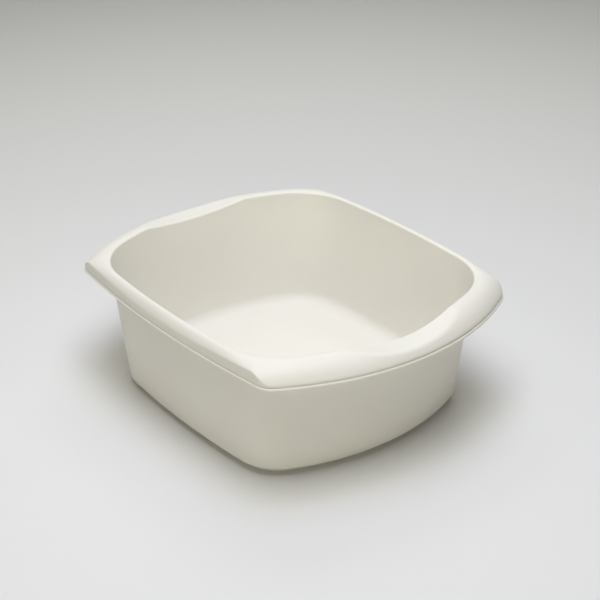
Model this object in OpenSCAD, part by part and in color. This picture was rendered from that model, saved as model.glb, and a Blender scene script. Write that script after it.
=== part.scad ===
/* [Lip] */
// Overall length over the lip, from one handle end to the other
length = 395; // [350:1:440]
// Overall width over the lip
width = 319; // [280:1:360]
// Plan radius of the bowed lip along each handle end
lip_end_bow = 274; // [235:1:330]
// Plan radius of the bowed lip along each long side
lip_side_bow = 1140; // [800:10:1600]
// Plan radius of the pointed lip corners
lip_corner = 20.5; // [12:0.5:32]
// Height of the bead from the middle of the lip down to the table
lip_height = 122.5; // [107.5:0.5:125.5]
// How far the bead stands out of the lip face
bead_out = 1.2; // [0.6:0.1:2]
// Thickness of the bead, measured upwards
bead_thick = 1.8; // [1.2:0.1:2.4]

/* [Mouth] */
// Height of the inner edge of the mouth above the table
mouth_height = 140; // [135.5:0.5:155.5]
// Width of the rim at the middle of each handle end
handle_reach = 28.4; // [22:0.2:34]
// Width of the rim at the middle of each long side
side_reach = 11.5; // [10:0.1:15]
// Plan radius of the bowed mouth along each handle end
mouth_end_bow = 263; // [225:1:320]
// Plan radius of the bowed mouth along each long side
mouth_side_bow = 1035; // [750:5:1500]
// Plan radius of the mouth corners
mouth_corner = 70; // [50:1:90]
// Rounding of the inner edge of the mouth
mouth_round = 2; // [1:0.1:2.6]

/* [Crown of the rim] */
// Rise of the crown above the inner edge of the mouth
crown_rise = 0.5; // [0.2:0.1:1.5]
// Share of the rim width, from the mouth outwards, at which the crown is highest
crown_place = 0.12; // [0.08:0.01:0.25]
// Fullness of the crown along the sides: 1 is a parabola, 0.5 an ellipse
side_fullness = 1; // [0.7:0.05:1.2]
// Fullness of the roll over the handle ends: 1 is a parabola, 0.5 an ellipse
handle_fullness = 0.76; // [0.6:0.02:1]
// Height of the upright band between bead and roll, along the handle ends
handle_band = 2.8; // [2.2:0.1:4]
// Height of the upright skirt at the middle of a long side, from the bead up
skirt_middle = 9.6; // [7:0.2:12]
// Further height that the skirt gains towards the corners
skirt_gain = 3.2; // [0:0.2:4.4]
// Length of the crease round the corner, on the side's half
crease_side = 14; // [10:0.5:18]
// Length of the crease round the corner, on the handle's half
crease_end = 5.5; // [3:0.5:9]

/* [Scoops] */
// Depth of the scoop in each handle end, at its middle
scoop_depth = 7.5; // [4:0.5:10]
// Width of the scoop along the mouth
scoop_width = 125; // [90:1:150]
// Rise of the scoop from the mouth outwards, per mm
scoop_slope = 0.033; // [0:0.003:0.08]
// Length over which the ridge of the scoop is blended
scoop_blend = 1.5; // [0.8:0.1:3]

/* [Basin] */
// Thickness of the walls
wall = 2; // [1.6:0.1:2.6]
// Thickness of the floor
floor_thick = 2.2; // [1.8:0.1:3]
// Thickness of the rim
rim_thick = 2.2; // [1.6:0.1:2.6]
// How far each end wall leans in between the mouth and the foot of the wall
end_draft = 16; // [10:0.5:22]
// How far each side wall leans in between the mouth and the foot of the wall
side_draft = 13; // [8:0.5:18]
// Plan radius of the bowed end walls at their foot
base_end_bow = 251; // [215:1:300]
// Plan radius of the bowed side walls at their foot
base_side_bow = 989; // [750:1:1400]
// Plan radius of the corners at the foot of the wall
base_corner = 47; // [36:1:60]
// Height of the inner floor above the table
floor_height = 13.5; // [12.5:0.2:16.5]
// Fillet between the inner floor and the walls
floor_fillet = 12; // [6:0.5:20]

/* [Foot] */
// Height of the lower edge of the wall above the table
wall_gap = 9.5; // [8.5:0.2:10.5]
// Rounding of the lower edge of the wall
edge_round = 1.2; // [0.6:0.1:1.6]
// Width of the rib that the wall ends in
edge_rib = 3.5; // [2.8:0.1:5]
// Distance from the lower edge of the wall in to the foot ring
foot_inset = 11; // [8:0.5:16]
// Width of the foot ring where it stands on the table
foot_width = 3.5; // [2.5:0.1:6]
// Draft of each flank of the foot ring
foot_draft = 0.4; // [0.2:0.1:1]

/* [Hidden] */

// Steps round one quarter of the bowl: scoop, rest of the end, lip corner, side
scoop_steps = 6;
end_steps = 7;
corner_steps = 10;
side_steps = 9;
// Steps across the floor fillet, the mouth's rounding and the crown
fillet_steps = 5;
round_steps = 3;
crown_steps = 9;

// Outlines in plan: [half length, half width, end radius, side radius, corner radius]
lip_outline = [length / 2, width / 2, lip_end_bow, lip_side_bow, lip_corner];
mouth_outline = [
    length / 2 - handle_reach, width / 2 - side_reach,
    mouth_end_bow, mouth_side_bow, mouth_corner
];
base_outline = [
    mouth_outline[0] - end_draft, mouth_outline[1] - side_draft,
    base_end_bow, base_side_bow, base_corner
];

// An outline moved outwards by d all the way round, and a blend of two outlines
function moved(outline, d) = [for (size = outline) size + d];
function blend(a, b, t) = a + (b - a) * t;

// Eased step from 0 to 1
function eased(t) = let (s = min(max(t, 0), 1)) s * s * (3 - 2 * s);

// Centres of the side arc and of the end arc of an outline
function side_centre(outline) = [0, outline[1] - outline[3]];
function end_centre(outline) = [outline[0] - outline[2], 0];

// Centre of the corner arc: its circle touches the side arc and the end arc from within
function corner_centre(outline) =
    let (
        side_c = side_centre(outline),
        end_c = end_centre(outline),
        side_r = outline[3] - outline[4],
        end_r = outline[2] - outline[4],
        apart = norm(end_c - side_c),
        along = (side_r ^ 2 - end_r ^ 2 + apart ^ 2) / (2 * apart),
        across = sqrt(side_r ^ 2 - along ^ 2),
        dir = (end_c - side_c) / apart
    )
    side_c + dir * along + [dir.y, -dir.x] * across;

// Polar angles in the first quarter at which the corner arc meets the end arc and the side arc
function meeting(centre, corner, radius) =
    let (p = centre + (corner - centre) * radius / norm(corner - centre)) atan2(p.y, p.x);
function end_meeting(outline) = meeting(end_centre(outline), corner_centre(outline), outline[2]);
function side_meeting(outline) = meeting(side_centre(outline), corner_centre(outline), outline[3]);

// Distance from the middle of the bowl to a circle, in direction dir
function to_circle(centre, radius, dir) =
    let (k = dir * centre) k + sqrt(radius ^ 2 - centre * centre + k ^ 2);

// Distance from the middle of the bowl to an outline, at polar angle a
function reach(outline, a) =
    let (
        dir = [abs(cos(a)), abs(sin(a))],
        folded = atan2(dir.y, dir.x)
    )
    folded < end_meeting(outline) ? to_circle(end_centre(outline), outline[2], dir)
    : folded > side_meeting(outline) ? to_circle(side_centre(outline), outline[3], dir)
    : to_circle(corner_centre(outline), outline[4], dir);

// Point on an outline at polar angle a and height z
function at(outline, a, z) = let (r = reach(outline, a)) [r * cos(a), r * sin(a), z];

// Outlines of the walls at height z, and of the lip face above its bead
function wall_out(z) =
    blend(base_outline, moved(mouth_outline, wall), (z - wall_gap) / (mouth_height - wall_gap));
function wall_in(z) = moved(wall_out(z), -wall);
face_outline = moved(lip_outline, -bead_out);

// Direction and reach of the lip corner, and the crease on both sides of it
lip_tip = (end_meeting(lip_outline) + side_meeting(lip_outline)) / 2;
tip_reach = reach(lip_outline, lip_tip);
crease_from = lip_tip - crease_end / tip_reach * 180 / PI;
crease_to = lip_tip + crease_side / tip_reach * 180 / PI;

// Share of the side's form in the rim: 0 along the handle ends, 1 along the sides
function side_share(a) =
    let (folded = atan2(abs(sin(a)), abs(cos(a))))
    eased((folded - crease_from) / (crease_to - crease_from));

// Height of the top of the upright lip face: a tall skirt on the sides, a low band on the handles
function face_top(a) =
    let (
        span = corner_centre(lip_outline).x,
        along = min(reach(face_outline, a) * abs(cos(a)) / span, 1),
        skirt = skirt_middle + skirt_gain * (1 - cos(180 * along)) / 2
    )
    lip_height + blend(handle_band, skirt, side_share(a));

// Depth of the scoop at distance y from the middle of a handle end, and the mouth's height there
function scoop(y) = scoop_depth * (1 - (2 * y / scoop_width) ^ 2);
function on_end(a) = abs(cos(a)) * tip_reach > corner_centre(lip_outline).x / 2;
function mouth_edge(a) =
    mouth_height - (on_end(a) ? max(scoop(reach(wall_in(mouth_height), a) * sin(a)), 0) : 0);

// Inner and outer ends of the crown at polar angle a
function crown_start(a) = reach(moved(wall_in(mouth_edge(a)), mouth_round), a);
function crown_end(a) = reach(face_outline, a);

// Lesser of two heights, blended over k where they cross
function lesser(p, q, k) =
    let (h = min(max(0.5 + (q - p) / k / 2, 0), 1)) q * (1 - h) + p * h - k * h * (1 - h);

// Height of the crown at polar angle a, from t = 0 at the mouth to t = 1 at the lip face
function crown(a, t) =
    let (
        u = min(max((t - crown_place) / (1 - crown_place), 0), 1),
        fullness = blend(handle_fullness, side_fullness, side_share(a)),
        foot = face_top(a),
        top = mouth_height + crown_rise * eased(t / crown_place),
        free = foot + (top - foot) * max(1 - u ^ 2, 0) ^ fullness,
        r = blend(crown_start(a), crown_end(a), t),
        scooped = mouth_height - scoop(r * sin(a)) + scoop_slope * (r - crown_start(a))
    )
    on_end(a) ? max(lesser(free, scooped, scoop_blend), min(foot, free)) : free;

// Point of the crown in the section at polar angle a, as [distance, height]
function crown_section(a, t) = [blend(crown_start(a), crown_end(a), t), crown(a, t)];

// The same point moved under the rim, square to the crown: probe is the step that finds its slope
probe = 0.02;
function under_section(a, t) =
    let (
        run = crown_section(a, t + probe) - crown_section(a, t - probe),
        square = [-run.y, run.x] / norm(run),
        p = crown_section(a, t) - square * rim_thick,
        wall_face = reach(wall_out(p.y), a),
        lip_face = reach(moved(face_outline, -rim_thick), a)
    )
    [min(max(p.x, wall_face), lip_face), p.y];

// Point at polar angle a from its distance and height in the section
function turned(a, p) = [p.x * cos(a), p.x * sin(a), p.y];

// Polar angles of the stations, first in one quarter, then all the way round
scoop_end = asin(scoop_width / 2 / reach(wall_in(mouth_height), atan2(scoop_width / 2, mouth_outline[0])));
quarter = [
    for (i = [0 : scoop_steps - 1]) scoop_end * i / scoop_steps,
    for (i = [0 : end_steps - 1]) blend(scoop_end, crease_from, i / end_steps),
    for (i = [0 : corner_steps - 1]) blend(crease_from, crease_to, i / corner_steps),
    for (i = [0 : side_steps - 1]) blend(crease_to, 90, i / side_steps)
];
count = len(quarter);
function backwards(i) = i == 0 ? 90 : quarter[count - i];
stations = [
    for (i = [0 : count - 1]) quarter[i],
    for (i = [0 : count - 1]) 180 - backwards(i),
    for (i = [0 : count - 1]) 180 + quarter[i],
    for (i = [0 : count - 1]) 360 - backwards(i)
];

// A ring of points on one outline at one height
function level(outline, z) = [for (a = stations) at(outline, a, z)];

// Inside of the basin: floor fillet and wall. The walls lean out, so the fillet ends short of upright
fillet_turn = 84;
fillet_rings = [
    for (i = [0 : fillet_steps])
        let (
            turn = fillet_turn * i / fillet_steps,
            z = floor_height + floor_fillet * (1 - cos(turn))
        )
        level(moved(wall_in(z), -floor_fillet * (1 - sin(turn))), z)
];

// Rounded inner edge of the mouth
round_rings = [
    for (i = [0 : round_steps - 1])
        let (turn = 90 * i / round_steps)
        [
            for (a = stations)
                at(
                    moved(wall_in(mouth_edge(a)), mouth_round * (1 - cos(turn))), a,
                    mouth_edge(a) - mouth_round * (1 - sin(turn))
                )
        ]
];

// Crown of the rim, closer together where it rolls over the lip
crown_shares = [
    0,
    crown_place / 2,
    for (i = [0 : crown_steps]) crown_place + (1 - crown_place) * sin(90 * i / crown_steps)
];
crown_rings = [for (t = crown_shares) [for (a = stations) turned(a, crown_section(a, t))]];

// Upright lip face, bead and the lip's lower edge
bead_rings = [
    level(face_outline, lip_height + bead_thick / 2),
    level(moved(lip_outline, -bead_out / 4), lip_height + bead_thick / 3),
    level(lip_outline, lip_height),
    level(moved(lip_outline, -bead_out / 4), lip_height - bead_thick / 3),
    level(moved(lip_outline, -bead_out), lip_height - bead_thick / 2),
    level(moved(face_outline, -rim_thick), lip_height - bead_thick / 2)
];

// Hollow under the rim, from the inside of the lip to the wall
hollow_shares = [0.92, 0.75, 0.55, 0.35, 0.18];
lip_inside = [
    for (a = stations)
        let (p = under_section(a, hollow_shares[0]))
        at(moved(face_outline, -rim_thick), a, (p.y + lip_height) / 2)
];
hollow_rings = [for (t = hollow_shares) [for (a = stations) turned(a, under_section(a, t))]];
wall_top = [
    for (a = stations)
        let (z = under_section(a, hollow_shares[len(hollow_shares) - 1]).y - rim_thick)
        at(wall_out(z), a, z)
];

// Lower edge of the wall, rib, underside of the floor and foot ring
underside = floor_height - floor_thick;
foot_rings = [
    level(wall_out(wall_gap + edge_round), wall_gap + edge_round),
    level(moved(base_outline, edge_round * (cos(45) - 1)), wall_gap + edge_round * (1 - sin(45))),
    level(moved(base_outline, -edge_round), wall_gap),
    level(moved(base_outline, -edge_rib), wall_gap),
    level(moved(base_outline, -edge_rib - foot_draft), underside),
    level(moved(base_outline, -foot_inset), underside),
    level(moved(base_outline, -foot_inset - foot_draft), 0),
    level(moved(base_outline, -foot_inset - foot_draft - foot_width), 0),
    level(moved(base_outline, -foot_inset - 2 * foot_draft - foot_width), underside)
];

rings = concat(
    fillet_rings, round_rings, crown_rings, bead_rings,
    [lip_inside], hollow_rings, [wall_top], foot_rings
);

// Skin over a stack of closed rings, with a fan to a middle point at the first and the last ring.
// The diagonals change over from quarter to quarter, so the skin is as symmetric as its rings.
module skin(rings, first_middle, last_middle) {
    n = len(rings[0]);
    last = len(rings) - 1;
    points = concat([for (ring = rings) each ring], [first_middle, last_middle]);
    bands = [
        for (r = [0 : last - 1], i = [0 : n - 1])
            let (
                a = r * n + i,
                b = r * n + (i + 1) % n,
                c = a + n,
                d = b + n
            )
            each floor(4 * i / n) % 2 == 0 ? [[a, b, c], [b, d, c]] : [[a, b, d], [a, d, c]]
    ];
    first_fan = [for (i = [0 : n - 1]) [n * (last + 1), (i + 1) % n, i]];
    last_fan = [for (i = [0 : n - 1]) [n * (last + 1) + 1, n * last + i, n * last + (i + 1) % n]];
    polyhedron(points, concat(bands, first_fan, last_fan));
}

// The whole bowl is one moulding: basin, rolled rim with two handle ends, lip and foot ring
module bowl() {
    color([0.93, 0.91, 0.86])
        skin(rings, [0, 0, floor_height], [0, 0, underside]);
}

bowl();
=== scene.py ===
"""A moulded plastic washing up bowl on a plain pale floor, under soft studio lamps.

The packed CAD model is loaded as the frame. The bowl is one moulding, so one finer surface stands for
the CAD node. Its form follows the same few outlines and sections as the CAD, in metres.
"""

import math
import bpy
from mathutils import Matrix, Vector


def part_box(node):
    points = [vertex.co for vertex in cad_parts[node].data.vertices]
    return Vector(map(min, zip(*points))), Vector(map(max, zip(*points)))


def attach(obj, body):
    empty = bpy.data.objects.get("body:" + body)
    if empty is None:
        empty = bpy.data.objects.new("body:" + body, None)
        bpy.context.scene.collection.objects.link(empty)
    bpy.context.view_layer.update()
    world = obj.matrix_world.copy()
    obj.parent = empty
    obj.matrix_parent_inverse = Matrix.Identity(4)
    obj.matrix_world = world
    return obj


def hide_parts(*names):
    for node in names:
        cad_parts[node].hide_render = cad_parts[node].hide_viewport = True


bl_info = {
    "name": "Washing up bowl",
    "version": (1, 0, 0),
    "blender": (4, 5, 0),
    "location": "View3D > Sidebar > Bowl",
    "description": "Makes a moulded washing up bowl, its satin plastic and a plain studio",
    "category": "Add Mesh",
}

import bpy
import numpy as np
from bpy.props import FloatProperty, FloatVectorProperty, PointerProperty
from mathutils import Matrix, Vector

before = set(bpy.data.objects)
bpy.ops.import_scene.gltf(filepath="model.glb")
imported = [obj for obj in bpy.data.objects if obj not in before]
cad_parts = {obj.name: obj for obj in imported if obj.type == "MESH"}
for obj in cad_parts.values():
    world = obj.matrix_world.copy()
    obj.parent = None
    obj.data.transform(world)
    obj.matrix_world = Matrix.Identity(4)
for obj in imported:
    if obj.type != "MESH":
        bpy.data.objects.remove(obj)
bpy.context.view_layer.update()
LOW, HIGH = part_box("bowl")


def size(name, description, default, low=0.0, high=2.0):
    """A length in metres that the user can change."""
    return FloatProperty(
        name=name, description=description, default=default, min=low, max=high,
        precision=4, subtype="DISTANCE", unit="LENGTH",
    )


def number(name, description, default, low=0.0, high=1.0):
    """A plain number that the user can change."""
    return FloatProperty(name=name, description=description, default=default, min=low, max=high)


def colour(name, description, default):
    """A colour that the user can change."""
    return FloatVectorProperty(
        name=name, description=description, default=default, size=3, min=0.0, max=1.0, subtype="COLOR",
    )


# Sizes and colours that a user would change


class BowlLip(bpy.types.PropertyGroup):
    """Sizes of the outer lip and its bead"""

    length: size("Length", "Overall length over the lip", HIGH.x - LOW.x)
    width: size("Width", "Overall width over the lip", HIGH.y - LOW.y)
    end_bow: size("End bow", "Plan radius of the bowed lip along each handle end", 0.274)
    side_bow: size("Side bow", "Plan radius of the bowed lip along each long side", 1.14)
    corner: size("Corner", "Plan radius of the pointed lip corners", 0.0205)
    height: size("Height", "Height of the bead above the table", 0.1225)
    bead_out: size("Bead out", "How far the bead stands out of the lip face", 0.0012)
    bead_thick: size("Bead thickness", "Thickness of the bead along the sides, measured upwards", 0.0018)
    bead_end: size("Bead thickness, ends", "Thickness of the bead along the handle ends", 0.0036)
    groove: size("Groove", "Depth of the groove that sets the bead off from the lip face", 0.0009)
    groove_tall: size("Groove height", "Height of that groove, above the bead", 0.0012)


class BowlMouth(bpy.types.PropertyGroup):
    """Sizes of the mouth and the rim round it"""

    height: size("Height", "Height of the inner edge of the mouth above the table", 0.14)
    handle_reach: size("Handle reach", "Width of the rim at the middle of each handle end", 0.0284)
    side_reach: size("Side reach", "Width of the rim at the middle of each long side", 0.0115)
    end_bow: size("End bow", "Plan radius of the bowed mouth along each handle end", 0.263)
    side_bow: size("Side bow", "Plan radius of the bowed mouth along each long side", 1.035)
    corner: size("Corner", "Plan radius of the mouth corners", 0.07)
    rounding: size("Rounding", "Rounding of the inner edge of the mouth", 0.002)
    thick: size("Thickness", "Thickness of the rim", 0.0022)


class BowlCrown(bpy.types.PropertyGroup):
    """Sizes of the crown, the skirt and the scoops"""

    rise: size("Rise", "Rise of the crown above the inner edge of the mouth", 0.0005)
    place: number("Place", "Share of the rim width at which the crown is highest", 0.12)
    side_fullness: number("Side fullness", "1 is a parabola, 0.5 an ellipse, along the sides", 1.0, 0.5, 1.2)
    handle_fullness: number("Handle fullness", "The same for the roll over the handle ends", 0.76, 0.5, 1.2)
    handle_band: size("Handle band", "Height of the upright band between bead and roll", 0.0028)
    skirt_middle: size("Skirt", "Height of the upright skirt at the middle of a side", 0.0096)
    skirt_gain: size("Skirt gain", "Further height that the skirt gains towards the corners", 0.0032)
    crease_side: size("Crease, side", "Length of the crease on the side's half of a corner", 0.014)
    crease_end: size("Crease, end", "Length of the crease on the handle's half of a corner", 0.0055)
    edge: size("Edge rounding", "Rounding of the upper edge of the skirt", 0.0011)
    scoop_depth: size("Scoop depth", "Depth of the scoop in each handle end", 0.0075)
    scoop_width: size("Scoop width", "Width of the scoop along the mouth", 0.125)
    scoop_slope: number("Scoop slope", "Rise of the scoop from the mouth outwards", -0.01, -0.2, 0.2)
    scoop_blend: size("Scoop blend", "Length over which the ridge of the scoop is blended", 0.0022)


class BowlBasin(bpy.types.PropertyGroup):
    """Sizes of the basin and its foot"""

    wall: size("Wall", "Thickness of the walls", 0.002)
    end_draft: size("End draft", "How far each end wall leans in down to its foot", 0.016)
    side_draft: size("Side draft", "How far each side wall leans in down to its foot", 0.013)
    end_bow: size("End bow", "Plan radius of the bowed end walls at their foot", 0.251)
    side_bow: size("Side bow", "Plan radius of the bowed side walls at their foot", 0.989)
    corner: size("Corner", "Plan radius of the corners at the foot of the wall", 0.047)
    floor: size("Floor height", "Height of the inner floor above the table", 0.0135)
    floor_thick: size("Floor thickness", "Thickness of the floor", 0.0022)
    fillet: size("Fillet", "Fillet between the inner floor and the walls", 0.012)
    gap: size("Gap", "Height of the lower edge of the wall above the table", 0.0095)
    edge: size("Edge rounding", "Rounding of the lower edge of the wall", 0.0012)
    rib: size("Rib", "Width of the rib that the wall ends in", 0.0035)
    foot_inset: size("Foot inset", "Distance from the edge of the wall in to the foot ring", 0.011)
    foot_width: size("Foot width", "Width of the foot ring on the table", 0.0035)
    foot_draft: size("Foot draft", "Draft of each flank of the foot ring", 0.0004)
    foot_edge: size("Foot edge", "Rounding of the foot ring's lower edges", 0.0007)


class BowlPlastic(bpy.types.PropertyGroup):
    """Look of the moulded plastic"""

    tint: colour("Colour", "Colour of the plastic", (0.85, 0.829, 0.766))
    cloud: number("Clouding", "How much the colour varies from place to place", 0.02)
    roughness: number("Roughness", "Roughness of the satin surface", 0.42)
    depth: number("Depth of light", "How much light spreads under the surface", 0.12)
    grain: size("Grain", "Size of the fine moulded grain", 0.0011)
    grain_height: size("Grain height", "Height of the fine moulded grain", 0.000012)
    wave_height: size("Wave height", "Height of the slow waves that moulding leaves", 0.00012)


class BowlStudio(bpy.types.PropertyGroup):
    """Floor, lamps and camera"""

    floor: colour("Floor", "Colour of the floor", (0.815, 0.815, 0.815))
    floor_reach: size("Floor reach", "Radius of the round floor", 1.9)
    sky: colour("Room", "Colour of the room round the floor", (0.60, 0.60, 0.60))
    room_tint: colour("Room tint", "Tint of the even light of the room", (1.0, 0.8, 0.6))
    room_light: number("Room light", "Strength of the even light of the room", 0.02, 0.0, 5.0)
    lamp_light: number("Lamp light", "Share of their own power that the lamps give", 1.0, 0.0, 10.0)
    azimuth: FloatProperty(
        name="Camera azimuth", description="Direction that the camera stands in", subtype="ANGLE",
        unit="ROTATION", default=math.radians(51.8215),
    )
    elevation: FloatProperty(
        name="Camera elevation", description="Angle that the camera looks down at", subtype="ANGLE",
        unit="ROTATION", default=math.radians(27.6036),
    )
    distance: size("Camera distance", "Distance from the middle of the foot", 1.53328, 0.1, 20.0)
    aside: size("Camera aside", "How far the camera is moved to its right", 0.009851, -5.0, 5.0)
    above: size("Camera above", "How far the camera is moved upwards in its view", 0.087747, -5.0, 5.0)
    raised: size("Camera raised", "How far the camera is moved straight up", 0.002209, -5.0, 5.0)
    lens: number("Lens", "Focal length in mm on a 36 mm frame", 88.4804, 10.0, 500.0)


# Outlines in plan. Each is five sizes: half length, half width, end radius, side radius, corner radius


def moved(outline, d):
    """The outline moved outwards by d all round: each of its five sizes grows by d."""
    return [part + d for part in outline]


def blend(a, b, t):
    """The value at share t on the straight way from a to b."""
    return a + (b - a) * t


def eased(t):
    """Eased step: three times t squared less twice t cubed, held at 0 and 1 outside."""
    s = np.clip(t, 0, 1)
    return s * s * (3 - 2 * s)


def corner_centre(outline):
    """Centre of the corner arc. It lies as far from the side arc's centre as the difference of their
    radii, and likewise from the end arc's centre, so it is where two such circles cross."""
    half_length, half_width, end_r, side_r, corner_r = outline
    end_x, side_y = half_length - end_r, half_width - side_r
    apart = np.hypot(end_x, side_y)
    along = ((side_r - corner_r) ** 2 - (end_r - corner_r) ** 2 + apart**2) / (2 * apart)
    across = np.sqrt((side_r - corner_r) ** 2 - along**2)
    x, y = end_x / apart, -side_y / apart
    return x * along + y * across, side_y + y * along - x * across


def meetings(outline):
    """Polar angles at which the corner arc meets the end arc and the side arc: each meeting point is on
    the line from that arc's centre through the corner's centre, at the arc's radius."""
    x, y = corner_centre(outline)
    end_x, side_y = outline[0] - outline[2], outline[1] - outline[3]
    to_end = outline[2] / np.hypot(x - end_x, y)
    to_side = outline[3] / np.hypot(x, y - side_y)
    end_angle = np.arctan2(y * to_end, end_x + (x - end_x) * to_end)
    side_angle = np.arctan2(side_y + (y - side_y) * to_side, x * to_side)
    return end_angle, side_angle


def to_circle(x, y, radius, dir_x, dir_y):
    """Distance from the middle to a circle in a direction: the centre's part along the direction, plus
    the root of radius squared less the centre's distance from that line, squared."""
    k = dir_x * x + dir_y * y
    return k + np.sqrt(np.maximum(radius**2 - x**2 - y**2 + k**2, 0))


def reach(outline, a):
    """Distance from the middle to the outline at polar angle a, from whichever of its three arcs lies
    there, with the angle folded into the first quarter."""
    dir_x, dir_y = np.abs(np.cos(a)), np.abs(np.sin(a))
    folded = np.arctan2(dir_y, dir_x)
    end_angle, side_angle = meetings(outline)
    x, y = corner_centre(outline)
    end = to_circle(outline[0] - outline[2], 0, outline[2], dir_x, dir_y)
    side = to_circle(0, outline[1] - outline[3], outline[3], dir_x, dir_y)
    corner = to_circle(x, y, outline[4], dir_x, dir_y)
    return np.where(folded < end_angle, end, np.where(folded > side_angle, side, corner))


# Stations in one quarter: along the scoop, the rest of the handle end, the crease and the side
STATIONS = (22, 22, 40, 34)
# Angle by which the close stations reach past the crease on each side
PAST_CREASE = 0.02
# Degrees that the floor's fillet turns through: the walls lean out, so it ends short of upright
FILLET_TURN = 84
# Share of the rounding of the skirt's upper edge that the handle ends have
HANDLE_EDGE = 0.3
# Angle above level at which the bead comes out of the groove over it
BEAD_FROM = math.radians(40)
# Below 1, the power that moves the groove's deepest place upwards
GROOVE_SKEW = 0.7
# Share of half the bead's thickness, below its middle, at which the hollow under the rim starts
HOLLOW_FROM = 0.8
# Share of the rim's width to each side over which the crown's slope is measured
SLOPE_STEP = 0.01
# Edges that turn by more than this are shaded sharp
SHARP_FROM = math.radians(38)


class Form:
    """The bowl's outlines and sections, worked out from its named sizes for all stations at once."""

    def __init__(self, scene):
        lip, mouth, crown, basin = scene.bowl_lip, scene.bowl_mouth, scene.bowl_crown, scene.bowl_basin
        self.lip, self.mouth, self.crown, self.basin = lip, mouth, crown, basin
        self.lip_line = [lip.length / 2, lip.width / 2, lip.end_bow, lip.side_bow, lip.corner]
        self.mouth_line = [
            lip.length / 2 - mouth.handle_reach, lip.width / 2 - mouth.side_reach,
            mouth.end_bow, mouth.side_bow, mouth.corner,
        ]
        self.base_line = [
            self.mouth_line[0] - basin.end_draft, self.mouth_line[1] - basin.side_draft,
            basin.end_bow, basin.side_bow, basin.corner,
        ]
        self.face_line = moved(self.lip_line, -lip.bead_out)
        self.tip = sum(meetings(self.lip_line)) / 2
        self.tip_reach = reach(self.lip_line, self.tip)
        self.crease_from = self.tip - crown.crease_end / self.tip_reach
        self.crease_to = self.tip + crown.crease_side / self.tip_reach
        self.corner_x = corner_centre(self.lip_line)[0]

    def stations(self):
        """Polar angles all round: steps for the scoop, the rest of the end, the crease and the side of
        one quarter, closest together in the crease, then the same mirrored into the other quarters."""
        half = self.crown.scoop_width / 2
        wall = reach(self.wall_in(self.mouth.height), math.atan2(half, self.mouth_line[0]))
        marks = [
            0, math.asin(half / wall), self.crease_from - PAST_CREASE, self.crease_to + PAST_CREASE,
            math.pi / 2,
        ]
        quarter = np.concatenate(
            [blend(a, b, np.arange(n) / n) for a, b, n in zip(marks[:-1], marks[1:], STATIONS)]
        )
        back = np.concatenate([[math.pi / 2], quarter[:0:-1]])
        return np.concatenate([quarter, math.pi - back, math.pi + quarter, 2 * math.pi - back])

    def wall_out(self, z):
        """Outline of the wall's outer face at height z: a straight blend of the outline at its foot and
        the mouth's outline moved out by the wall's thickness."""
        t = (z - self.basin.gap) / (self.mouth.height - self.basin.gap)
        top = moved(self.mouth_line, self.basin.wall)
        return [blend(a, b, t) for a, b in zip(self.base_line, top)]

    def wall_in(self, z):
        """Outline of the wall's inner face: the outer one moved in by the wall's thickness."""
        return moved(self.wall_out(z), -self.basin.wall)

    def side_share(self, a):
        """Share of the side's form in the rim: an eased step over the crease at each corner."""
        folded = np.arctan2(np.abs(np.sin(a)), np.abs(np.cos(a)))
        return eased((folded - self.crease_from) / (self.crease_to - self.crease_from))

    def face_top(self, a):
        """Height of the top of the upright lip face: a low band along the handles, and along the sides
        a skirt that rises towards the corners as half a cosine wave."""
        along = np.minimum(reach(self.face_line, a) * np.abs(np.cos(a)) / self.corner_x, 1)
        skirt = self.crown.skirt_middle + self.crown.skirt_gain * (1 - np.cos(math.pi * along)) / 2
        return self.lip.height + blend(self.crown.handle_band, skirt, self.side_share(a))

    def scoop(self, y):
        """Depth of the scoop at distance y from the middle of a handle end: a parabola."""
        return self.crown.scoop_depth * (1 - (2 * y / self.crown.scoop_width) ** 2)

    def on_end(self, a):
        """Whether a station belongs to a handle end rather than a long side."""
        return np.abs(np.cos(a)) * self.tip_reach > self.corner_x / 2

    def mouth_edge(self, a):
        """Height of the mouth's inner edge: level, and lower by the scoop in the handle ends."""
        y = reach(self.wall_in(self.mouth.height), a) * np.sin(a)
        return self.mouth.height - np.where(self.on_end(a), np.maximum(self.scoop(y), 0), 0)

    def crown_start(self, a):
        """Distance at which the crown starts: the mouth's edge moved out by its rounding."""
        return reach(moved(self.wall_in(self.mouth_edge(a)), self.mouth.rounding), a)

    def crown_height(self, a, t):
        """Height of the crown at share t of its width. It rises gently to its top, and then falls as
        one less u squared, to the power of its fullness. In the handle ends it is the lesser of that
        and the scoop, rounded where the two cross, and never under the lip face's top."""
        crown = self.crown
        u = np.clip((t - crown.place) / (1 - crown.place), 0, 1)
        fullness = blend(crown.handle_fullness, crown.side_fullness, self.side_share(a))
        foot = self.face_top(a)
        top = self.mouth.height + crown.rise * eased(t / crown.place)
        free = foot + (top - foot) * np.maximum(1 - u**2, 0) ** fullness
        start = self.crown_start(a)
        r = blend(start, reach(self.face_line, a), t)
        scooped = self.mouth.height - self.scoop(r * np.sin(a)) + crown.scoop_slope * (r - start)
        h = np.clip(0.5 + (scooped - free) / crown.scoop_blend / 2, 0, 1)
        lesser = scooped * (1 - h) + free * h - crown.scoop_blend * h * (1 - h)
        return np.where(self.on_end(a), np.maximum(lesser, np.minimum(foot, free)), free)

    def crown_at(self, a, t):
        """Distance and height of the crown at share t."""
        r = blend(self.crown_start(a), reach(self.face_line, a), t)
        return r, self.crown_height(a, t)

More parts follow.
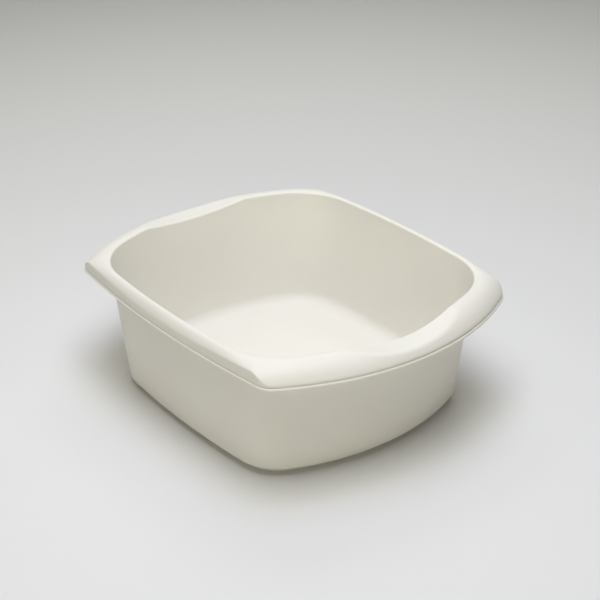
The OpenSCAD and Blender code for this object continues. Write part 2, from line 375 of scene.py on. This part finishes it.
    def under_at(self, a, t):
        """The same point moved under the rim by its thickness, square to the crown's slope, and kept
        between the wall and the lip."""
        r0, z0 = self.crown_at(a, t - SLOPE_STEP)
        r1, z1 = self.crown_at(a, t + SLOPE_STEP)
        run = np.hypot(r1 - r0, z1 - z0)
        r, z = self.crown_at(a, t)
        r = r + (z1 - z0) / run * self.mouth.thick
        z = z - (r1 - r0) / run * self.mouth.thick
        wall = reach(self.wall_out(z), a)
        lip = reach(moved(self.face_line, -self.mouth.thick), a)
        return np.minimum(np.maximum(r, wall), lip), z

    def rings(self, a):
        """The whole section as rings of (distance, height), from the inner floor's edge over the rim
        and down to the underside, each ring with one value per station. The arrays of shares say where
        rings lie: closest together where the surface bends."""
        lip, mouth, crown, basin = self.lip, self.mouth, self.crown, self.basin
        found = []

        def add(r, z):
            """Keep one ring, or a stack of them."""
            r, z, _ = np.broadcast_arrays(r, z, a)
            found.append(np.stack([r, z], -1).reshape(-1, len(a), 2))

        def bend(p, q, s, steps):
            """Quadratic curve from p to s that leans towards q: the weights are those of the square
            of (1 less t) plus t."""
            t = (np.arange(1, steps + 1) / (steps + 1))[:, None]
            add(*[(1 - t) ** 2 * i + 2 * t * (1 - t) * j + t**2 * k for i, j, k in zip(p, q, s)])

        # Floor, its fillet, the wall inside and the rounded edge of the mouth
        turn = np.radians(np.linspace(0, FILLET_TURN, 15))[:, None]
        z = basin.floor + basin.fillet * (1 - np.cos(turn))
        fillet = reach(moved(self.wall_in(z), -basin.fillet * (1 - np.sin(turn))), a)
        shares = np.array([0.1, 0.3, 0.5, 0.7, 0.85, 0.95])[:, None]
        add(shares * fillet[0], basin.floor)
        add(fillet, z)
        edge = self.mouth_edge(a)
        z = blend(z[-1], edge - mouth.rounding, np.array([0.08, 0.25, 0.5, 0.75, 0.92])[:, None])
        add(reach(self.wall_in(z), a), z)
        turn = np.radians(np.linspace(0, 90, 8)[:-1])[:, None]
        out = moved(self.wall_in(edge), mouth.rounding * (1 - np.cos(turn)))
        add(reach(out, a), edge - mouth.rounding * (1 - np.sin(turn)))

        # Crown, closest together where it rolls over the lip, and its rounded edge
        face = reach(self.face_line, a)
        foot = self.face_top(a)
        soft = crown.edge * blend(HANDLE_EDGE, 1.0, self.side_share(a))
        last = 1 - soft / (face - self.crown_start(a))
        add(*self.crown_at(a, np.linspace(0, crown.place, 6)[:-1, None]))
        turn = np.sin(np.radians(np.linspace(0, 90, 40)))[:, None]
        add(*self.crown_at(a, blend(crown.place, last, turn)))
        bend(self.crown_at(a, last), (face, foot), (face, foot - soft), 7)

        # Upright lip face, groove, half round bead and the lip's lower edge. The bead's top is at one
        # height all round. The groove is half a sine wave, deepest a little above its middle
        half = blend(lip.bead_end, lip.bead_thick, self.side_share(a)) / 2
        bead = lip.height + lip.bead_thick / 2 - half
        groove_top = bead + half + lip.groove_tall
        groove_foot = bead + half * math.sin(BEAD_FROM)
        add(face, blend(foot - soft, groove_top, np.array([0, 0.5, 0.9])[:, None]))
        t = np.linspace(0, 1, 9)[:-1, None]
        depth = lip.groove * np.sin(math.pi * t**GROOVE_SKEW)
        add(reach(moved(self.face_line, -depth), a), blend(groove_top, groove_foot, t))
        turn = np.linspace(BEAD_FROM, -math.pi / 2, 11)[:, None]
        add(reach(moved(self.face_line, lip.bead_out * np.cos(turn)), a), bead + half * np.sin(turn))
        inside = reach(moved(self.face_line, -mouth.thick), a)
        add(blend(face, inside, np.array([0.4, 0.85])[:, None]), bead - half)

        # Hollow under the rim, and its rounded meeting with the wall
        r, z = self.under_at(a, np.linspace(0.97, 0.18, 22)[:, None])
        add(inside, blend(bead - half * HOLLOW_FROM, z[0], np.array([0, 0.5])[:, None]))
        add(r, z)
        low = z[-1] - mouth.thick
        bend((r[-1], z[-1]), (reach(self.wall_out(z[-1]), a), z[-1]), (reach(self.wall_out(low), a), low), 5)

        # Wall outside, its rounded lower edge and rib
        z = blend(low, basin.gap + basin.edge, np.array([0, 0.12, 0.35, 0.6, 0.85, 1])[:, None])
        add(reach(self.wall_out(z), a), z)
        turn = np.radians(np.linspace(0, 90, 7)[1:])[:, None]
        out = moved(self.base_line, -basin.edge * (1 - np.cos(turn)))
        add(reach(out, a), basin.gap + basin.edge * (1 - np.sin(turn)))
        under = basin.floor - basin.floor_thick
        add(reach(moved(self.base_line, -basin.rib), a), basin.gap)
        add(reach(moved(self.base_line, -basin.rib - basin.foot_draft), a), under)

        # Foot ring with rounded lower edges, and the underside
        outer = basin.foot_inset + basin.foot_draft
        inner = outer + basin.foot_width
        add(reach(moved(self.base_line, -basin.foot_inset), a), under)
        turn = np.radians(np.linspace(0, 90, 5))[:, None]
        round_r = basin.foot_edge * (1 - np.cos(turn))
        round_z = basin.foot_edge * (1 - np.sin(turn))
        add(reach(moved(self.base_line, -outer - round_r), a), round_z)
        add(reach(moved(self.base_line, -inner + round_r[::-1]), a), round_z[::-1])
        centre = reach(moved(self.base_line, -inner - basin.foot_draft), a)
        add(np.array([1, 0.95, 0.7, 0.4, 0.1])[:, None] * centre, under)
        return np.concatenate(found)


def skin(name, a, rings, first_z, last_z):
    """A closed surface over a stack of rings: each point is (distance times cosine, distance times
    sine, height), four neighbours make a face, and a fan to a middle point closes each end."""
    rows, count = rings.shape[:2]
    r, z = rings[..., 0], rings[..., 1]
    points = np.stack([r * np.cos(a), r * np.sin(a), z], -1).reshape(-1, 3)
    points = np.vstack([points, [[0, 0, first_z], [0, 0, last_z]]])
    row, i = np.meshgrid(np.arange(rows - 1), np.arange(count), indexing="ij")
    p, q = row * count + i, row * count + (i + 1) % count
    quads = np.stack([p, p + count, q + count, q], -1).reshape(-1, 4)
    i = np.arange(count)
    j = (i + 1) % count
    top = np.stack([np.full(count, rows * count), i, j], -1)
    end = (rows - 1) * count
    bottom = np.stack([np.full(count, rows * count + 1), end + j, end + i], -1)
    corners = np.concatenate([quads.ravel(), top.ravel(), bottom.ravel()]).astype(np.int32)
    totals = np.concatenate([np.full(len(quads), 4), np.full(2 * count, 3)])
    starts = (np.cumsum(totals) - totals).astype(np.int32)
    mesh = bpy.data.meshes.new(name)
    mesh.vertices.add(len(points))
    mesh.vertices.foreach_set("co", points.astype(np.float32).ravel())
    mesh.loops.add(len(corners))
    mesh.loops.foreach_set("vertex_index", corners)
    mesh.polygons.add(len(totals))
    mesh.polygons.foreach_set("loop_start", starts)
    mesh.polygons.foreach_set("use_smooth", np.ones(len(totals), bool))
    mesh.update(calc_edges=True)
    if mesh.validate():
        raise RuntimeError(f"{name}: the mesh had faults")
    mesh.set_sharp_from_angle(angle=SHARP_FROM)
    piece = bpy.data.objects.new(name, mesh)
    bpy.context.scene.collection.objects.link(piece)
    return piece


# Materials

# Values between which nearly all of a noise lies
NOISE_SPAN = (0.3, 0.7)
# Specular level of the plastic and the paper, both duller than the shader's own 0.5
SPECULAR = 0.2
# Index of refraction of polypropylene
PLASTIC_IOR = 1.49
# How much the roughness of the plastic varies to each side
GLOSS_SPREAD = 0.04
# How far light spreads under the plastic's surface, in metres, and the shares of red, green and blue
LIGHT_REACH = 0.004
LIGHT_SHARES = (1.0, 0.8, 0.5)
# Roughness of the paper, and height of its tooth in metres
PAPER_ROUGHNESS = 0.9
PAPER_TOOTH = 0.00003


def new_material(name):
    """A node material with nothing but one Principled shader."""
    material = bpy.data.materials.new(name)
    material.use_nodes = True
    tree = material.node_tree
    tree.nodes.clear()
    output = tree.nodes.new("ShaderNodeOutputMaterial")
    shader = tree.nodes.new("ShaderNodeBsdfPrincipled")
    tree.links.new(shader.outputs["BSDF"], output.inputs["Surface"])
    return material, tree, shader


def noise(tree, scale, detail, roughness=0.5):
    """Noise on Object coordinates, with scale features to the metre."""
    place = tree.nodes.new("ShaderNodeTexCoord")
    node = tree.nodes.new("ShaderNodeTexNoise")
    node.inputs["Scale"].default_value = scale
    node.inputs["Detail"].default_value = detail
    node.inputs["Roughness"].default_value = roughness
    tree.links.new(place.outputs["Object"], node.inputs["Vector"])
    return node.outputs["Fac"]


def spread(tree, value, low, high):
    """A noise spread from low to high."""
    node = tree.nodes.new("ShaderNodeMapRange")
    node.inputs["From Min"].default_value, node.inputs["From Max"].default_value = NOISE_SPAN
    node.inputs["To Min"].default_value = low
    node.inputs["To Max"].default_value = high
    tree.links.new(value, node.inputs["Value"])
    return node.outputs["Result"]


def bump(tree, height, distance, below=None):
    """A bump of the given real height, over another one."""
    node = tree.nodes.new("ShaderNodeBump")
    node.inputs["Strength"].default_value = 1.0
    node.inputs["Distance"].default_value = distance
    tree.links.new(height, node.inputs["Height"])
    if below is not None:
        tree.links.new(below, node.inputs["Normal"])
    return node.outputs["Normal"]


def satin_plastic(look):
    """Cream moulded plastic: a faintly clouded colour, satin gloss that varies a little, slow waves
    and fine grain left by the mould, and light that spreads a little under the surface."""
    material, tree, shader = new_material("satin_plastic")
    tint = Vector(look.tint)
    clouds = tree.nodes.new("ShaderNodeMix")
    clouds.data_type = "RGBA"
    clouds.inputs["A"].default_value = (*tint * (1 - look.cloud), 1)
    clouds.inputs["B"].default_value = (*[min(c * (1 + look.cloud * 0.5), 1) for c in tint], 1)
    tree.links.new(spread(tree, noise(tree, scale=9, detail=3), 0, 1), clouds.inputs["Factor"])
    tree.links.new(clouds.outputs["Result"], shader.inputs["Base Color"])
    patches = noise(tree, scale=35, detail=4, roughness=0.6)
    gloss = spread(tree, patches, look.roughness - GLOSS_SPREAD, look.roughness + GLOSS_SPREAD)
    tree.links.new(gloss, shader.inputs["Roughness"])
    waves = bump(tree, noise(tree, scale=22, detail=1), look.wave_height)
    grain = bump(tree, noise(tree, scale=1 / look.grain, detail=2), look.grain_height, waves)
    tree.links.new(grain, shader.inputs["Normal"])
    shader.inputs["IOR"].default_value = PLASTIC_IOR
    shader.inputs["Specular IOR Level"].default_value = SPECULAR
    shader.inputs["Subsurface Weight"].default_value = look.depth
    shader.inputs["Subsurface Radius"].default_value = LIGHT_SHARES
    shader.inputs["Subsurface Scale"].default_value = LIGHT_REACH
    return material


def paper(name, tint):
    """Plain matt paper: an even colour with a faint tooth."""
    material, tree, shader = new_material(name)
    shader.inputs["Base Color"].default_value = (*tint, 1)
    shader.inputs["Roughness"].default_value = PAPER_ROUGHNESS
    shader.inputs["Specular IOR Level"].default_value = SPECULAR
    tooth = bump(tree, noise(tree, scale=700, detail=2), PAPER_TOOTH)
    tree.links.new(tooth, shader.inputs["Normal"])
    return material


# Studio

# Lamps: name, place to the right, towards the camera and up, width, depth, power in watts, tint
LAMPS = (
    ("overhead_wide", (0.0, 0.0, 2.2), 3.2, 3.2, 20.5, (1.0, 0.97, 0.87)),
    ("overhead_small", (0.0, 0.0, 1.5), 0.6, 0.6, 4.0, (0.6, 0.64, 1.0)),
    ("overhead_front", (0.0, 0.5, 1.5), 0.8, 0.8, 11.0, (0.98, 1.0, 1.0)),
    ("behind", (0.0, -1.1, 1.3), 1.4, 1.0, 5.2, (0.98, 1.0, 0.88)),
    ("front_low", (0.0, 2.4, 0.6), 2.4, 0.6, 10.2, (1.0, 0.97, 0.76)),
    ("left_low", (-1.5, 0.2, 0.7), 0.9, 0.9, 1.5, (1.0, 0.92, 0.7)),
)
# Height of the point in the bowl that the lamps face
LAMP_AIM = 0.05
# Corners of the round floor
FLOOR_CORNERS = 128
# Width of the camera's frame in mm, and the distance in metres up to which it sees
FRAME_WIDTH = 36
FARTHEST = 50


# Operators


class MakeBowl(bpy.types.Operator):
    """Make the bowl: basin, rolled rim with its handle ends, lip, bead and foot in one moulding"""

    bl_idname = "bowl.make_bowl"
    bl_label = "Make the bowl"

    def execute(self, context):
        form = Form(context.scene)
        a = form.stations()
        floor = form.basin.floor
        piece = skin("moulded_bowl", a, form.rings(a), floor, floor - form.basin.floor_thick)
        piece.data.materials.append(satin_plastic(context.scene.bowl_plastic))
        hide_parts("bowl")
        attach(piece, "root")
        return {"FINISHED"}


class MakeStudio(bpy.types.Operator):
    """Make the plain floor, the lamps, the room's even light and the camera"""

    bl_idname = "bowl.make_studio"
    bl_label = "Make the studio"

    def execute(self, context):
        studio = context.scene.bowl_studio
        context.scene.view_settings.view_transform = "Standard"
        self.lay_floor(studio)
        self.hang_lamps(studio)
        self.light_room(studio)
        self.set_camera(context.scene, studio)
        return {"FINISHED"}

    def lay_floor(self, studio):
        """A flat round of paper under the bowl, wide enough to fill the camera's picture."""
        turn = np.linspace(0, 2 * math.pi, FLOOR_CORNERS + 1)[:-1]
        rim = studio.floor_reach * np.stack([np.cos(turn), np.sin(turn), 0 * turn], axis=-1)
        mesh = bpy.data.meshes.new("paper_floor")
        mesh.from_pydata(rim.tolist(), [], [list(range(len(turn)))])
        mesh.materials.append(paper("pale_paper", studio.floor))
        floor = bpy.data.objects.new("paper_floor", mesh)
        bpy.context.scene.collection.objects.link(floor)

    def hang_lamps(self, studio):
        """Soft lamps overhead, in front, behind and on the left, placed as the camera sees them."""
        across = Vector((math.cos(studio.azimuth), math.sin(studio.azimuth), 0))
        towards = Vector((math.sin(studio.azimuth), -math.cos(studio.azimuth), 0))
        for name, (right, near, high), width, depth, power, tint in LAMPS:
            data = bpy.data.lights.new(name, "AREA")
            data.shape = "RECTANGLE"
            data.size, data.size_y = width, depth
            data.color = tint
            data.energy = power * studio.lamp_light
            lamp = bpy.data.objects.new(name, data)
            lamp.location = across * right + towards * near + Vector((0, 0, high))
            aim = Vector((0, 0, LAMP_AIM)) - lamp.location
            lamp.rotation_euler = aim.to_track_quat("-Z", "Y").to_euler()
            bpy.context.scene.collection.objects.link(lamp)

    def light_room(self, studio):
        """A little even light from the room all round. What the camera, gloss and clear pieces see of
        the room is its plain colour."""
        world = bpy.data.worlds.new("room")
        bpy.context.scene.world = world
        world.use_nodes = True
        tree = world.node_tree
        even = tree.nodes["Background"]
        even.inputs["Color"].default_value = (*studio.room_tint, 1)
        even.inputs["Strength"].default_value = studio.room_light
        plain = tree.nodes.new("ShaderNodeBackground")
        plain.inputs["Color"].default_value = (*studio.sky, 1)
        rays = tree.nodes.new("ShaderNodeLightPath")
        seen = rays.outputs["Is Camera Ray"]
        for ray in ("Is Glossy Ray", "Is Transmission Ray"):
            either = tree.nodes.new("ShaderNodeMath")
            either.operation = "MAXIMUM"
            tree.links.new(seen, either.inputs[0])
            tree.links.new(rays.outputs[ray], either.inputs[1])
            seen = either.outputs[0]
        mix = tree.nodes.new("ShaderNodeMixShader")
        tree.links.new(seen, mix.inputs["Fac"])
        tree.links.new(even.outputs[0], mix.inputs[1])
        tree.links.new(plain.outputs[0], mix.inputs[2])
        tree.links.new(mix.outputs[0], tree.nodes["World Output"].inputs["Surface"])

    def set_camera(self, scene, studio):
        """The camera looks along a line at the given azimuth and elevation, from the given distance,
        moved aside and up in its own view, and then straight up."""
        az, el = studio.azimuth, studio.elevation
        back = Vector((math.sin(az) * math.cos(el), -math.cos(az) * math.cos(el), math.sin(el)))
        right = Vector((0, 0, 1)).cross(back).normalized()
        up = back.cross(right)
        place = back * studio.distance + right * studio.aside + up * studio.above
        place.z += studio.raised
        data = bpy.data.cameras.new("camera")
        data.sensor_width = FRAME_WIDTH
        data.lens = studio.lens
        data.clip_end = FARTHEST
        camera = bpy.data.objects.new("camera", data)
        turn = Matrix((right, up, back)).transposed().to_4x4()
        camera.matrix_world = Matrix.Translation(place) @ turn
        bpy.context.scene.collection.objects.link(camera)
        scene.camera = camera


class BowlPanel(bpy.types.Panel):
    """Lists the sizes, the colours and what makes each piece"""

    bl_idname = "VIEW3D_PT_bowl"
    bl_label = "Washing up bowl"
    bl_space_type = "VIEW_3D"
    bl_region_type = "UI"
    bl_category = "Bowl"

    def draw(self, context):
        for operator in OPERATORS:
            self.layout.operator(operator.bl_idname)
        for name, group in GROUPS.items():
            box = self.layout.box()
            box.label(text=group.__doc__)
            for prop in group.__annotations__:
                box.prop(getattr(context.scene, name), prop)


OPERATORS = (MakeBowl, MakeStudio)
GROUPS = {
    "bowl_lip": BowlLip,
    "bowl_mouth": BowlMouth,
    "bowl_crown": BowlCrown,
    "bowl_basin": BowlBasin,
    "bowl_plastic": BowlPlastic,
    "bowl_studio": BowlStudio,
}


def register():
    for group in GROUPS.values():
        bpy.utils.register_class(group)
    for name, group in GROUPS.items():
        setattr(bpy.types.Scene, name, PointerProperty(type=group))
    for operator in OPERATORS:
        bpy.utils.register_class(operator)
    bpy.utils.register_class(BowlPanel)


def unregister():
    bpy.utils.unregister_class(BowlPanel)
    for operator in reversed(OPERATORS):
        bpy.utils.unregister_class(operator)
    for name in GROUPS:
        delattr(bpy.types.Scene, name)
    for group in reversed(GROUPS.values()):
        bpy.utils.unregister_class(group)


def main():
    register()
    bpy.ops.bowl.make_bowl()
    bpy.ops.bowl.make_studio()


if __name__ == "__main__":
    main()
